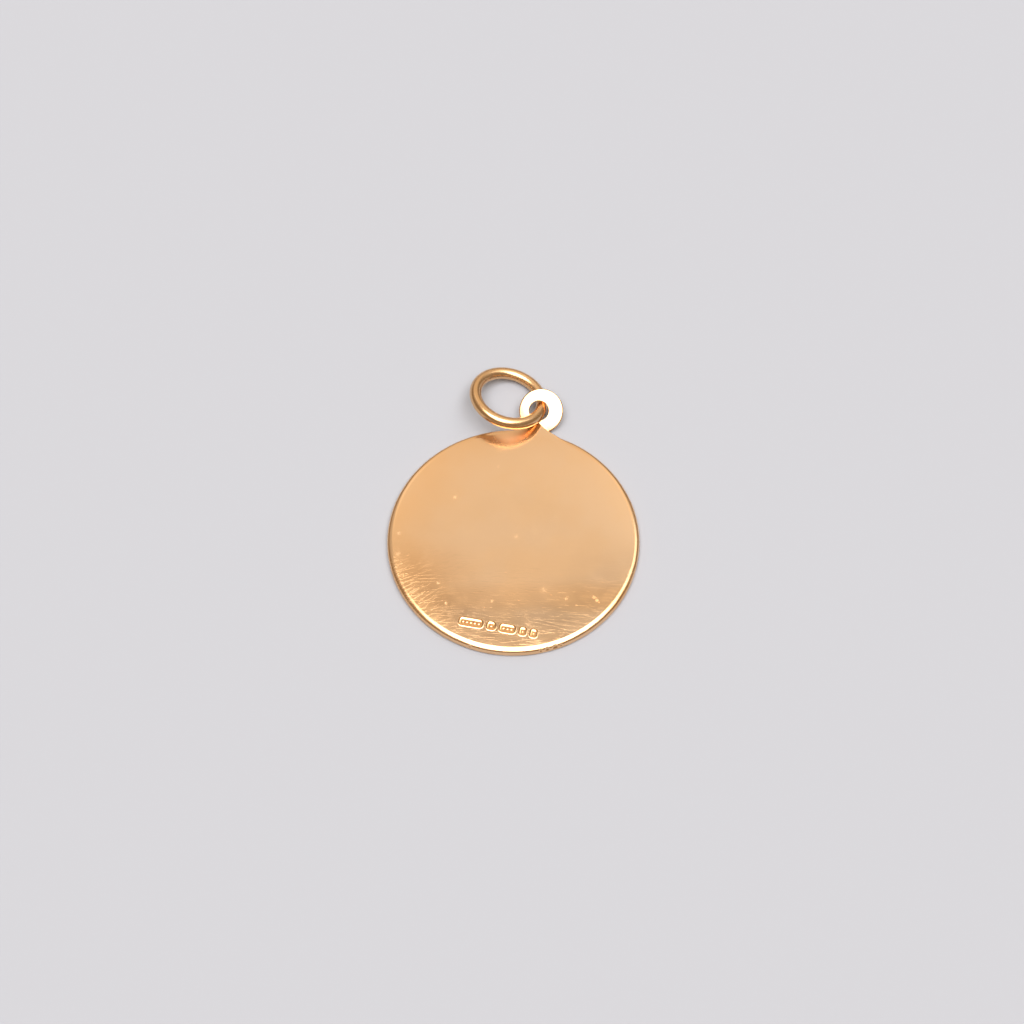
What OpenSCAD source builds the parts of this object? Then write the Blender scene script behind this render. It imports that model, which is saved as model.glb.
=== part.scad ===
// A round zodiac pendant with its jump ring, lying face down with its plain back up.
// Millimetres. +Z is up, +Y runs from the disc's centre to its eye, and the origin is
// the disc's centre on the surface that the pendant lies on.

/* [Disc] */
// Diameter of the disc
disc_d = 20; // [18:0.5:24]
// Thickness of the disc at its centre
disc_t = 0.92; // [0.8:0.02:1]
// Radius at which the back starts to fall towards the rim
crown_start_r = 4; // [3:0.5:6]
// Radius of the arc in which the back falls
crown_arc_r = 75; // [60:1:120]
// Radius at which the back's worn edge starts
edge_start_r = 9.5; // [9.4:0.01:9.5]
// Radius of the arc of the worn edge
edge_arc_r = 0.9; // [0.8:0.05:1]
// Rounding of the corner outside the worn edge
back_round_r = 0.27; // [0.24:0.01:0.3]
// Rounding of the front's edge
front_round_r = 0.12; // [0.05:0.01:0.2]

/* [Front relief] */
// Height of the raised border and signs above the front's field
relief_h = 0.15; // [0.1:0.01:0.2]
// Width of the raised border
border_w = 0.85; // [0.6:0.05:1.2]
// Width of the raised lines between the houses
divider_w = 0.16; // [0.12:0.01:0.25]
// Width of the strokes of the signs
stroke_w = 0.22; // [0.16:0.01:0.28]
// Half the height of a sign
sign_r = 1; // [0.8:0.05:1.1]
// Radius of the ring inside the signs
inner_ring_r = 3.9; // [3.4:0.1:4.2]
// Radius of the sun in the middle
sun_r = 1.5; // [1.2:0.1:1.8]
// Number of the sun's rays
sun_rays = 12; // [8:1:16]

/* [Eye] */
// Outer radius of the eye
eye_r = 1.77; // [1.6:0.01:1.9]
// Radius of the eye's hole
eye_hole_r = 0.8; // [0.79:0.01:0.85]
// How far the hole is worn towards the left
eye_hole_shift = 0.18; // [0.1:0.01:0.2]
// Thickness of the eye
eye_t = 0.3; // [0.28:0.01:0.3]
// Angle that the eye is bent up from the disc
eye_tilt = 30; // [29:1:31]
// How far the eye's centre stands out from the disc's rim
eye_reach = 1.66; // [1.6:0.01:1.7]
// Width of the solder where it meets the rim
solder_w = 3.2; // [3:0.1:3.8]

/* [Jump ring] */
// Radius of the ring, to the middle of its wire
ring_r = 2.73; // [2.7:0.01:2.8]
// Diameter of the ring's wire
wire_d = 0.94; // [0.8:0.01:0.94]
// How far the ring's centre lies to the left of the eye
ring_left = 2.738; // [2.73:0.001:2.75]
// How far the ring's centre lies beyond the disc's rim
ring_reach = 2.1; // [2.09:0.01:2.11]
// Slope of the ring, propped in the eye and down on the surface beyond it
ring_tilt = 19.8; // [19.7:0.1:20]
// Direction in which the ring slopes down, from +X
ring_lean = 57.6; // [57.5:0.1:57.8]

/* [Punched row] */
// Distance of the row of blank marks from the disc's centre
mark_row_r = 7.9; // [7:0.1:8.2]
// Height of a mark
mark_h = 0.8; // [0.6:0.05:1]
// How far the row's middle lies to the right of the disc's centre
mark_row_shift = 0.3; // [-1:0.1:1]
// Space between two marks
mark_gap = 0.22; // [0.2:0.01:0.4]
// Depth of a mark below the back's middle
mark_depth = 0.13; // [0.1:0.01:0.2]

/* [Hidden] */
$fn = 180;

GOLD = [0.85, 0.64, 0.38];
disc_r = disc_d / 2;
field_r = disc_r - border_w;
// the crown's arc, the worn edge's arc and the corner's rounding run into each other smoothly
crown_z = disc_t - crown_arc_r;
edge_fall = asin((edge_start_r - crown_start_r) / crown_arc_r);
edge_z = crown_z + crown_arc_r * cos(edge_fall);
arc_x = edge_start_r - edge_arc_r * sin(edge_fall);
arc_z = edge_z - edge_arc_r * cos(edge_fall);
round_x = disc_r - back_round_r;
round_z = arc_z + sqrt(pow(edge_arc_r - back_round_r, 2) - pow(round_x - arc_x, 2));
corner_x = arc_x + (round_x - arc_x) * edge_arc_r / (edge_arc_r - back_round_r);
// the eye's lowest edge clears the surface by a hair
eye_lift = 0.02;
eye_z = eye_r * sin(eye_tilt) + eye_t / 2 * cos(eye_tilt) + eye_lift;
eye_edge_r = 0.1;
solder_top = edge_z - 0.06;
solder_bottom = eye_lift + front_round_r;
// the ring's lowest point touches the surface
ring_z = wire_d / 2 + ring_r * sin(ring_tilt);
house_r = (inner_ring_r + field_r) / 2;
ray_half_w = 0.28;
// the widths of the blank marks, from left to right
MARK_WIDTHS = [2, 0.8, 1.35, 0.65, 0.65];
mark_row_w = len(MARK_WIDTHS) * mark_gap - mark_gap + total(MARK_WIDTHS);

// Each sign is [bars, arcs] in a square two units high about its middle.
// A bar is [x, y of one end, x, y of the other].
// An arc is [x, y of its centre, radius, first angle, last angle], turning left.
SIGNS = [
    // the ram
    [[[0, 0.3, 0, -1]],
     [[-0.4, 0.4, 0.4, -15, 200], [0.4, 0.4, 0.4, -20, 195]]],
    // the bull
    [[],
     [[0, -0.42, 0.56, 0, 360], [0, 0.86, 0.72, 190, 350]]],
    // the twins
    [[[-0.35, -0.75, -0.35, 0.75], [0.35, -0.75, 0.35, 0.75],
      [-0.75, 0.9, 0.75, 0.9], [-0.75, -0.9, 0.75, -0.9]],
     []],
    // the crab
    [[],
     [[-0.5, 0.24, 0.28, 0, 360], [0.5, -0.24, 0.28, 0, 360],
      [0.08, 0.05, 0.88, 25, 165], [-0.08, -0.05, 0.88, 205, 345]]],
    // the lion
    [[[0.48, 0.2, 0.24, -0.5]],
     [[-0.5, -0.3, 0.27, 0, 360], [0, 0.38, 0.5, -20, 205], [0.52, -0.62, 0.3, 160, 320]]],
    // the maiden
    [[[-0.8, 0.75, -0.8, -0.7], [-0.3, 0.6, -0.3, -0.7], [0.2, 0.6, 0.2, -0.65]],
     [[-0.55, 0.6, 0.25, 0, 180], [-0.05, 0.6, 0.25, 0, 180],
      [0.42, 0.12, 0.26, -60, 160], [0.5, -0.65, 0.3, 180, 300]]],
    // the scales
    [[[-0.85, -0.7, 0.85, -0.7], [-0.85, -0.2, -0.35, -0.2], [0.35, -0.2, 0.85, -0.2]],
     [[0, 0.2, 0.53, -49, 229]]],
    // the scorpion
    [[[-0.85, 0.75, -0.85, -0.7], [-0.35, 0.6, -0.35, -0.7], [0.15, 0.6, 0.15, -0.5],
      [0.85, -0.35, 0.6, -0.5], [0.85, -0.35, 0.95, -0.62]],
     [[-0.6, 0.6, 0.25, 0, 180], [-0.1, 0.6, 0.25, 0, 180], [0.5, -0.45, 0.36, 175, 375]]],
    // the archer
    [[[-0.8, -0.8, 0.8, 0.8], [0.05, 0.8, 0.8, 0.8],
      [0.8, 0.05, 0.8, 0.8], [-0.65, 0.05, 0.05, -0.65]],
     []],
    // the goat
    [[[-0.85, 0.7, -0.5, -0.5], [-0.5, -0.5, -0.15, 0.4]],
     [[0.1, 0.4, 0.25, 0, 180], [0.52, -0.25, 0.3, 0, 360], [-0.1, -0.3, 0.45, -80, 15]]],
    // the water bearer
    [[for (y = [-0.35, 0.35], i = [0:3]) let (rise = i % 2 == 0 ? 0.15 : -0.15)
        [0.42 * i - 0.84, y - rise, 0.42 * i - 0.42, y + rise]],
     []],
    // the fishes
    [[[-0.65, 0, 0.65, 0]],
     [[-1.35, 0, 0.95, -55, 55], [1.35, 0, 0.95, 125, 235]]]
];

// the sum of a list of numbers, from one place in it on
function total(list, from = 0) = from < len(list) ? list[from] + total(list, from + 1) : 0;

// the distance of a mark's middle from the left end of the row
function mark_x(i) = total([for (j = [0:i]) MARK_WIDTHS[j]]) - MARK_WIDTHS[i] / 2 + i * mark_gap;

// half of the disc's section, with its flat middle, falling crown, worn edge and round corners
module disc_section() {
    square([crown_start_r, disc_t]);
    intersection() {
        translate([crown_start_r, crown_z]) circle(r = crown_arc_r, $fn = 1440);
        square([edge_start_r, disc_t]);
    }
    intersection() {
        translate([arc_x, arc_z]) circle(r = edge_arc_r, $fn = 360);
        square([corner_x, disc_t]);
    }
    translate([0, front_round_r]) square([disc_r, round_z - front_round_r]);
    square([disc_r - front_round_r, disc_t / 2]);
    translate([round_x, round_z]) circle(r = back_round_r, $fn = 96);
    translate([disc_r - front_round_r, front_round_r]) circle(r = front_round_r, $fn = 96);
}

// a straight stroke with round ends
module bar(b) {
    run = [b[2] - b[0], b[3] - b[1]] * sign_r;
    translate([b[0], b[1]] * sign_r) rotate(atan2(run[1], run[0])) {
        translate([0, -stroke_w / 2]) square([norm(run), stroke_w]);
        circle(d = stroke_w, $fn = 24);
        translate([norm(run), 0]) circle(d = stroke_w, $fn = 24);
    }
}

// a part of a ring, cut out by a fan of three straight steps
module arc_stroke(a) {
    r = a[2] * sign_r;
    far = 3 * r;
    step = (a[4] - a[3]) / 3;
    translate([a[0], a[1]] * sign_r) {
        difference() {
            if (a[4] - a[3] >= 360) circle(r = r + stroke_w / 2, $fn = 72);
            else intersection() {
                circle(r = r + stroke_w / 2, $fn = 72);
                polygon([[0, 0], for (i = [0:3]) far * [cos(a[3] + i * step), sin(a[3] + i * step)]]);
            }
            circle(r = r - stroke_w / 2, $fn = 72);
        }
        if (a[4] - a[3] < 360)
            for (end = [a[3], a[4]]) rotate(end) translate([r, 0]) circle(d = stroke_w, $fn = 24);
    }
}

module sign(s) {
    for (b = s[0]) bar(b);
    for (a = s[1]) arc_stroke(a);
}

// the wheel of the twelve signs, as it is seen from the front
module wheel() {
    houses = len(SIGNS);
    for (i = [0:houses - 1]) {
        turn = 90 - i * 360 / houses;
        rotate(turn) translate([house_r, 0]) rotate(-90) sign(SIGNS[i]);
        rotate(turn + 180 / houses) translate([inner_ring_r, -divider_w / 2])
            square([field_r - inner_ring_r + border_w / 2, divider_w]);
    }
    difference() {
        circle(r = inner_ring_r + stroke_w / 2);
        circle(r = inner_ring_r - stroke_w / 2);
    }
    circle(r = sun_r);
    // the rays start inside the sun and end short of the ring
    for (i = [0:sun_rays - 1]) rotate(i * 360 / sun_rays)
        polygon([[0.9 * sun_r, -ray_half_w], [0.8 * inner_ring_r, 0], [0.9 * sun_r, ray_half_w]]);
}

// the blank with its field cut in on the front and the wheel left standing in it
module blank() {
    difference() {
        rotate_extrude() disc_section();
        translate([0, 0, -relief_h]) cylinder(r = field_r, h = 2 * relief_h);
    }
    mirror([1, 0, 0]) linear_extrude(height = 1.5 * relief_h) wheel();
}

// moves its children to the eye's middle, square to its hole
module at_eye() {
    translate([0, disc_r + eye_reach, eye_z]) rotate([eye_tilt, 0, 0]) children();
}

// the bent-up washer, with softened edges
module eye_washer() {
    rotate_extrude() {
        translate([0, -eye_t / 2 + eye_edge_r]) square([eye_r, eye_t - 2 * eye_edge_r]);
        translate([0, -eye_t / 2]) square([eye_r - eye_edge_r, eye_t]);
        for (z = [-1, 1])
            translate([eye_r - eye_edge_r, z * (eye_t / 2 - eye_edge_r)]) circle(r = eye_edge_r, $fn = 48);
    }
}

// the solder that fills the corner between the rim and the washer, filed level with the back
module solder() {
    // each point is a share of the width and a distance beyond the rim
    outline = [[0, -0.8], [0.5, -0.8], [0.5, -0.13], [0.34, 0.12], [0.11, 0.61], [0, 0.88]];
    below = 4;
    difference() {
        translate([0, 0, solder_bottom]) linear_extrude(height = solder_top - solder_bottom)
            for (side = [0, 1]) mirror([side, 0])
                polygon([for (p = outline) [p[0] * solder_w, disc_r + p[1]]]);
        at_eye() translate([-below, -2 * below, -below - eye_t / 2]) cube([2 * below, 4 * below, below]);
    }
}

// the row of blank punch marks near the rim, each with round ends
module punched_row() {
    for (i = [0:len(MARK_WIDTHS) - 1]) {
        run = MARK_WIDTHS[i] - mark_h;
        translate([mark_row_shift + mark_x(i) - mark_row_w / 2, -mark_row_r, disc_t - mark_depth]) {
            if (run > 0) translate([-run / 2, -mark_h / 2, 0]) cube([run, mark_h, disc_t]);
            for (side = [-1, 1]) translate([side * max(run, 0) / 2, 0, 0])
                cylinder(d = min(mark_h, MARK_WIDTHS[i]), h = disc_t);
        }
    }
}

module disc() {
    color(GOLD) difference() {
        union() {
            blank();
            at_eye() eye_washer();
            solder();
        }
        at_eye() translate([-eye_hole_shift, 0, 0]) cylinder(r = eye_hole_r, h = 4 * eye_t, center = true);
        punched_row();
    }
}

module jump_ring() {
    color(GOLD) translate([-ring_left, disc_r + ring_reach, ring_z]) rotate([0, ring_tilt, ring_lean])
        rotate_extrude() translate([ring_r, 0]) circle(d = wire_d, $fn = 64);
}

disc();
jump_ring();
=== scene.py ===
"""The looks of a round gold zodiac pendant that lies face down, with its jump ring beside its eye.

Metres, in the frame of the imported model: +Z up out of the plain back, +Y towards the eye, and the
origin at the disc's centre on the surface that the pendant lies on.
"""

import logging
import math
import random
from dataclasses import dataclass
from enum import Enum
from functools import partial
from typing import Any, Callable, Iterable, Sequence

import bpy
from mathutils import Matrix, Vector, noise


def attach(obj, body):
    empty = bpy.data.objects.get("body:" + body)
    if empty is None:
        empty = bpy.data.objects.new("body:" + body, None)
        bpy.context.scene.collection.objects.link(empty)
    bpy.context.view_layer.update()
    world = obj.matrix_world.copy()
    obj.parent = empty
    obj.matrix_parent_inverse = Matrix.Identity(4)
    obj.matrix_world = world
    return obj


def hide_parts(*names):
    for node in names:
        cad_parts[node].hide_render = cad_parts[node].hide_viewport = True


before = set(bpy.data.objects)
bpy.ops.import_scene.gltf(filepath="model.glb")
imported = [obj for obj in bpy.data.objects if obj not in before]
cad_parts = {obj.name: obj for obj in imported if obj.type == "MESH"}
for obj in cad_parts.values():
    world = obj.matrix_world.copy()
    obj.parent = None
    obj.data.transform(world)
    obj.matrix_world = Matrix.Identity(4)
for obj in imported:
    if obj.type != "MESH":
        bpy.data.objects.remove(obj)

LOG = logging.getLogger("pendant")
MM = 0.001
WELD = 1e-6  # points closer than this are one point
CLOSE = 0.004 * MM  # a face closer than this to a true surface lies on it
TURN = math.radians(11)  # the camera looks along the pendant's +Y turned by this to the left

Point = tuple[float, float]
Colour = tuple[float, float, float]


class Join(Enum):
    """How two solids are put together."""

    FUSE = "UNION"
    CUT = "DIFFERENCE"


class Sign(Enum):
    """The twelve traditional signs as strokes in a square two units high.

    Each value is (bars, arcs). A bar is the x and y of its two ends, and an arc is the x and y of
    its centre, its radius, and its first and last angle in degrees, turning left.
    """

    RAM = (((0, 0.3, 0, -1),), ((-0.4, 0.4, 0.4, -15, 200), (0.4, 0.4, 0.4, -20, 195)))
    BULL = ((), ((0, -0.42, 0.56, 0, 360), (0, 0.86, 0.72, 190, 350)))
    TWINS = (((-0.35, -0.75, -0.35, 0.75), (0.35, -0.75, 0.35, 0.75),
              (-0.75, 0.9, 0.75, 0.9), (-0.75, -0.9, 0.75, -0.9)), ())
    CRAB = ((), ((-0.5, 0.24, 0.28, 0, 360), (0.5, -0.24, 0.28, 0, 360),
                 (0.08, 0.05, 0.88, 25, 165), (-0.08, -0.05, 0.88, 205, 345)))
    LION = (((0.48, 0.2, 0.24, -0.5),),
            ((-0.5, -0.3, 0.27, 0, 360), (0, 0.38, 0.5, -20, 205), (0.52, -0.62, 0.3, 160, 320)))
    MAIDEN = (((-0.8, 0.75, -0.8, -0.7), (-0.3, 0.6, -0.3, -0.7), (0.2, 0.6, 0.2, -0.65)),
              ((-0.55, 0.6, 0.25, 0, 180), (-0.05, 0.6, 0.25, 0, 180),
               (0.42, 0.12, 0.26, -60, 160), (0.5, -0.65, 0.3, 180, 300)))
    SCALES = (((-0.85, -0.7, 0.85, -0.7), (-0.85, -0.2, -0.35, -0.2), (0.35, -0.2, 0.85, -0.2)),
              ((0, 0.2, 0.53, -49, 229),))
    SCORPION = (((-0.85, 0.75, -0.85, -0.7), (-0.35, 0.6, -0.35, -0.7), (0.15, 0.6, 0.15, -0.5),
                 (0.85, -0.35, 0.6, -0.5), (0.85, -0.35, 0.95, -0.62)),
                ((-0.6, 0.6, 0.25, 0, 180), (-0.1, 0.6, 0.25, 0, 180), (0.5, -0.45, 0.36, 175, 375)))
    ARCHER = (((-0.8, -0.8, 0.8, 0.8), (0.05, 0.8, 0.8, 0.8), (0.8, 0.05, 0.8, 0.8),
               (-0.65, 0.05, 0.05, -0.65)), ())
    GOAT = (((-0.85, 0.7, -0.5, -0.5), (-0.5, -0.5, -0.15, 0.4)),
            ((0.1, 0.4, 0.25, 0, 180), (0.52, -0.25, 0.3, 0, 360), (-0.1, -0.3, 0.45, -80, 15)))
    WATER_BEARER = (tuple((0.42 * i - 0.84, y - rise, 0.42 * i - 0.42, y + rise)
                          for y in (-0.35, 0.35) for i, rise in enumerate((0.15, -0.15) * 2)), ())
    FISHES = (((-0.65, 0, 0.65, 0),), ((-1.35, 0, 0.95, -55, 55), (1.35, 0, 0.95, 125, 235)))


def new_mesh(name: str, verts: Iterable[Sequence[float]], edges: Iterable[Sequence[int]] = (),
             faces: Iterable[Sequence[int]] = ()) -> bpy.types.Mesh:
    """Makes a mesh from plain lists.

    Args:
        name: The mesh's name.
        verts: The points, in metres.
        edges: Pairs of points.
        faces: Rings of points.

    Returns:
        The new mesh.
    """
    mesh = bpy.data.meshes.new(name)
    mesh.from_pydata([tuple(v) for v in verts], [tuple(e) for e in edges], [tuple(f) for f in faces])
    mesh.update()
    return mesh


def as_object(mesh: bpy.types.Mesh) -> bpy.types.Object:
    """Puts a mesh into the scene, under the mesh's own name."""
    obj = bpy.data.objects.new(mesh.name, mesh)
    bpy.context.scene.collection.objects.link(obj)
    return obj


def bake(obj: bpy.types.Object) -> bpy.types.Mesh:
    """Turns an object with its modifiers into a plain mesh, and removes the object."""
    graph = bpy.context.evaluated_depsgraph_get()
    mesh = bpy.data.meshes.new_from_object(obj.evaluated_get(graph), depsgraph=graph)
    name, before = obj.name, obj.data
    bpy.data.objects.remove(obj)
    bpy.data.meshes.remove(before)
    mesh.name = name
    return mesh


def combine(base: bpy.types.Mesh, tool: bpy.types.Mesh, how: Join) -> bpy.types.Mesh:
    """Fuses one closed mesh with another, or cuts one out of the other.

    Args:
        base: The solid that is kept.
        tool: The solid that is added or taken away.
        how: Which of the two.

    Returns:
        The new solid.
    """
    kept, other = as_object(base), as_object(tool)
    step = kept.modifiers.new(how.name.lower(), "BOOLEAN")
    step.operation, step.solver, step.object = how.value, "MANIFOLD", other
    result = bake(kept)
    bpy.data.objects.remove(other)
    return result


class Wiring:
    """A node tree in the making."""

    def __init__(self, tree: bpy.types.NodeTree) -> None:
        """Keeps the tree that the nodes go into."""
        self.tree = tree

    def feed(self, end: bpy.types.NodeSocket, value: Any) -> None:
        """Joins an input to the socket that feeds it, or gives it a value."""
        if isinstance(value, bpy.types.NodeSocket):
            self.tree.links.new(value, end)
        else:
            end.default_value = value

    def add(self, kind: str, wires: dict[str | int, Any] | None = None, **settings: Any) -> bpy.types.Node:
        """Adds a node.

        Args:
            kind: The node's type.
            wires: For each input, by its name or place, the socket that feeds it or its value.
            settings: The node's own properties.

        Returns:
            The new node.
        """
        node = self.tree.nodes.new(kind)
        for name, value in settings.items():
            setattr(node, name, value)
        for name, value in (wires or {}).items():
            self.feed(node.inputs[name], value)
        return node

    def math(self, operation: str, *values: Any) -> bpy.types.NodeSocket:
        """Adds a math node and returns its result."""
        return self.add("ShaderNodeMath", dict(enumerate(values)), operation=operation).outputs[0]

    def vector(self, operation: str, *values: Any) -> bpy.types.Node:
        """Adds a vector math node."""
        return self.add("ShaderNodeVectorMath", dict(enumerate(values)), operation=operation)

    def ranged(self, value: Any, low: float, high: float, to_low: float,
               to_high: float) -> bpy.types.NodeSocket:
        """Maps a range of a value smoothly to another.

        Args:
            value: What is mapped.
            low: Where the range starts.
            high: Where it ends.
            to_low: The result at its start.
            to_high: The result at its end.

        Returns:
            The result's socket.
        """
        wires = {"Value": value, "From Min": low, "From Max": high, "To Min": to_low, "To Max": to_high}
        return self.add("ShaderNodeMapRange", wires, interpolation_type="SMOOTHSTEP").outputs[0]


class NodeSketch(Wiring):
    """A geometry node tree in the making, with one geometry in, named inputs and one geometry out."""

    def __init__(self, name: str) -> None:
        """Starts an empty tree with the two ends of its geometry."""
        super().__init__(bpy.data.node_groups.new(name, "GeometryNodeTree"))
        self.tree.is_modifier = True
        for way in ("INPUT", "OUTPUT"):
            self.tree.interface.new_socket("Geometry", in_out=way, socket_type="NodeSocketGeometry")
        self.entry = self.add("NodeGroupInput")
        self.exit = self.add("NodeGroupOutput")
        self.geometry = self.entry.outputs["Geometry"]

    def named(self, name: str, kind: str) -> bpy.types.NodeSocket:
        """Adds a named input of the kind Float, Int, Object or Material."""
        self.tree.interface.new_socket(name, in_out="INPUT", socket_type="NodeSocket" + kind)
        return self.entry.outputs[name]

    def close(self, geometry: bpy.types.NodeSocket) -> None:
        """Ends the tree: the geometry is realized and gets its material."""
        real = self.add("GeometryNodeRealizeInstances", {"Geometry": geometry})
        wires = {"Geometry": real.outputs[0], "Material": self.named("Material", "Material")}
        self.feed(self.exit.inputs["Geometry"], self.add("GeometryNodeSetMaterial", wires).outputs[0])

    def run(self, mesh: bpy.types.Mesh, **inputs: Any) -> bpy.types.Mesh:
        """Runs the tree on a mesh.

        Args:
            mesh: What goes in. Its name goes to the result.
            inputs: The value of each named input.

        Returns:
            The result as a plain mesh.
        """
        obj = as_object(mesh)
        step = obj.modifiers.new("nodes", "NODES")
        step.node_group = self.tree
        for item in self.tree.interface.items_tree:
            if item.in_out == "INPUT" and item.name in inputs:
                step[item.identifier] = inputs[item.name]
        obj.update_tag()
        return bake(obj)


class Surface(Wiring):
    """The nodes of a metal in the making, in the piece's own coordinates."""

    def __init__(self, name: str) -> None:
        """Starts a material of plain metal."""
        self.material = bpy.data.materials.new(name)
        self.material.use_nodes = True
        super().__init__(self.material.node_tree)
        self.shader = self.tree.nodes["Principled BSDF"]
        self.shader.inputs["Metallic"].default_value = 1.0
        self.place = self.add("ShaderNodeTexCoord").outputs["Object"]
        apart = self.add("ShaderNodeSeparateXYZ", {0: self.place})
        self.x, self.y = apart.outputs["X"], apart.outputs["Y"]
        self.flat = self.add("ShaderNodeCombineXYZ", {"X": self.x, "Y": self.y}).outputs[0]

    def turned(self, stretch: float, turn: float) -> bpy.types.NodeSocket:
        """The coordinates, turned to a direction of the back and stretched along it."""
        wires = {"Vector": self.place, "Rotation": (0, 0, turn), "Scale": (stretch, 1, 1)}
        return self.add("ShaderNodeMapping", wires, vector_type="TEXTURE").outputs[0]

    def noise(self, scale: float, stretch: float = 1, turn: float = 0,
              detail: float = 2) -> bpy.types.NodeSocket:
        """A noise that is stretched along a direction of the back."""
        wires = {"Vector": self.turned(stretch, turn), "Scale": scale, "Detail": detail}
        return self.add("ShaderNodeTexNoise", wires).outputs["Fac"]

    def mask(self, name: str) -> bpy.types.NodeSocket:
        """A mask that the mesh holds."""
        return self.add("ShaderNodeAttribute", attribute_name=name).outputs["Fac"]

    def tint(self, amount: bpy.types.NodeSocket, below: Any, above: Any) -> bpy.types.NodeSocket:
        """A mix of two colours, each given as numbers or as a socket."""
        node = self.add("ShaderNodeMix", {"Factor": amount}, data_type="RGBA")
        for name, value in (("A", below), ("B", above)):
            end = next(s for s in node.inputs if s.name == name and s.type == "RGBA")
            self.feed(end, (*value, 1.0) if isinstance(value, tuple) else value)
        return next(s for s in node.outputs if s.type == "RGBA")


def lathe_sketch() -> NodeSketch:
    """Makes the tree that turns a section, a row of points in the XZ plane, about the Z axis."""
    sketch = NodeSketch("lathe")
    segments = sketch.named("Segments", "Int")
    size = sketch.add("GeometryNodeAttributeDomainSize", {"Geometry": sketch.geometry})
    count = size.outputs["Point Count"]
    columns = sketch.math("ADD", segments, 1.0)
    grid = sketch.add("GeometryNodeMeshGrid", {"Vertices X": columns, "Vertices Y": count})
    index = sketch.add("GeometryNodeInputIndex").outputs[0]
    column = sketch.math("FLOOR", sketch.math("DIVIDE", index, count))
    row = sketch.math("SUBTRACT", index, sketch.math("MULTIPLY", column, count))
    place = sketch.add("GeometryNodeInputPosition").outputs[0]
    wires = {"Geometry": sketch.geometry, "Value": place, "Index": row}
    sampled = sketch.add("GeometryNodeSampleIndex", wires, data_type="FLOAT_VECTOR", domain="POINT")
    point = sketch.add("ShaderNodeSeparateXYZ", {0: sampled.outputs[0]})
    angle = sketch.math("MULTIPLY", sketch.math("DIVIDE", column, segments), math.tau)
    x = sketch.math("MULTIPLY", point.outputs["X"], sketch.math("COSINE", angle))
    y = sketch.math("MULTIPLY", point.outputs["X"], sketch.math("SINE", angle))
    turned = sketch.add("ShaderNodeCombineXYZ", {0: x, 1: y, 2: point.outputs["Z"]})
    wires = {"Geometry": grid.outputs["Mesh"], "Name": "lathe", "Value": grid.outputs["UV Map"]}
    marked = sketch.add("GeometryNodeStoreNamedAttribute", wires, data_type="FLOAT2", domain="CORNER")
    wires = {"Geometry": marked.outputs[0], "Position": turned.outputs[0]}
    moved = sketch.add("GeometryNodeSetPosition", wires)
    welded = sketch.add("GeometryNodeMergeByDistance", {0: moved.outputs[0], "Distance": WELD})
    sketch.close(welded.outputs[0])
    return sketch


def stroke_sketch() -> NodeSketch:
    """Makes the tree that lays a raised stroke along each path, with round ends, and fuses them all."""
    sketch = NodeSketch("raised strokes")
    section = sketch.add("GeometryNodeObjectInfo", {"Object": sketch.named("Section", "Object")})
    cap = sketch.add("GeometryNodeObjectInfo", {"Object": sketch.named("Cap", "Object")})
    profile = sketch.add("GeometryNodeMeshToCurve", {"Mesh": section.outputs["Geometry"]})
    curve = sketch.add("GeometryNodeMeshToCurve", {"Mesh": sketch.geometry})
    level = sketch.add("GeometryNodeSetCurveNormal", {"Curve": curve.outputs[0]}, mode="Z_UP")
    wires = {"Curve": level.outputs[0], "Profile Curve": profile.outputs[0], "Fill Caps": True}
    body = sketch.add("GeometryNodeCurveToMesh", wires)
    ends = sketch.add("GeometryNodeCurveEndpointSelection")
    wires = {"Points": level.outputs[0], "Selection": ends.outputs[0], "Instance": cap.outputs["Geometry"]}
    domes = sketch.add("GeometryNodeInstanceOnPoints", wires)
    island = sketch.add("GeometryNodeInputMeshIsland").outputs["Island Index"]
    parts = sketch.add("GeometryNodeSplitToInstances", {"Geometry": body.outputs[0], "Group ID": island},
                       domain="FACE")
    both = sketch.add("GeometryNodeJoinGeometry")
    for source in (parts, domes):
        sketch.feed(both.inputs[0], source.outputs[0])
    fused = sketch.add("GeometryNodeMeshBoolean", {"Mesh 2": both.outputs[0]}, operation="UNION",
                       solver="MANIFOLD")
    sketch.close(fused.outputs[0])
    return sketch


def scatter_sketch() -> NodeSketch:
    """Makes the tree that sets a copy of one shape on each point, at the size that the point holds."""
    sketch = NodeSketch("scatter")
    shape = sketch.add("GeometryNodeObjectInfo", {"Object": sketch.named("Shape", "Object")})
    size = sketch.add("GeometryNodeInputNamedAttribute", {"Name": "size"}, data_type="FLOAT")
    wires = {"Points": sketch.geometry, "Instance": shape.outputs["Geometry"], "Scale": size.outputs[0]}
    sketch.close(sketch.add("GeometryNodeInstanceOnPoints", wires).outputs[0])
    return sketch


def arc_points(centre: Point, radius: float, first: float, last: float, steps: int) -> list[Point]:
    """Points along an arc.

    Args:
        centre: The arc's centre.
        radius: Its radius.
        first: Its first angle, in degrees.
        last: Its last angle, in degrees.
        steps: How many straight steps it has.

    Returns:
        One point more than there are steps.
    """
    angles = [math.radians(first + (last - first) * i / steps) for i in range(steps + 1)]
    return [(centre[0] + radius * math.cos(a), centre[1] + radius * math.sin(a)) for a in angles]


def row_of(name: str, points: Sequence[Point], closed: bool = False, flat: bool = False) -> bpy.types.Mesh:
    """Makes a row of points in the XZ plane, or flat in the XY plane.

    Args:
        name: The mesh's name.
        points: The points, as pairs.
        closed: Whether the last is joined to the first.
        flat: Whether the pairs are x and y.

    Returns:
        A mesh of points and edges.
    """
    verts = [(a, b, 0) if flat else (a, 0, b) for a, b in points]
    edges = [(i, i + 1) for i in range(len(verts) - 1)] + ([(len(verts) - 1, 0)] if closed else [])
    return new_mesh(name, verts, edges)


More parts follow.
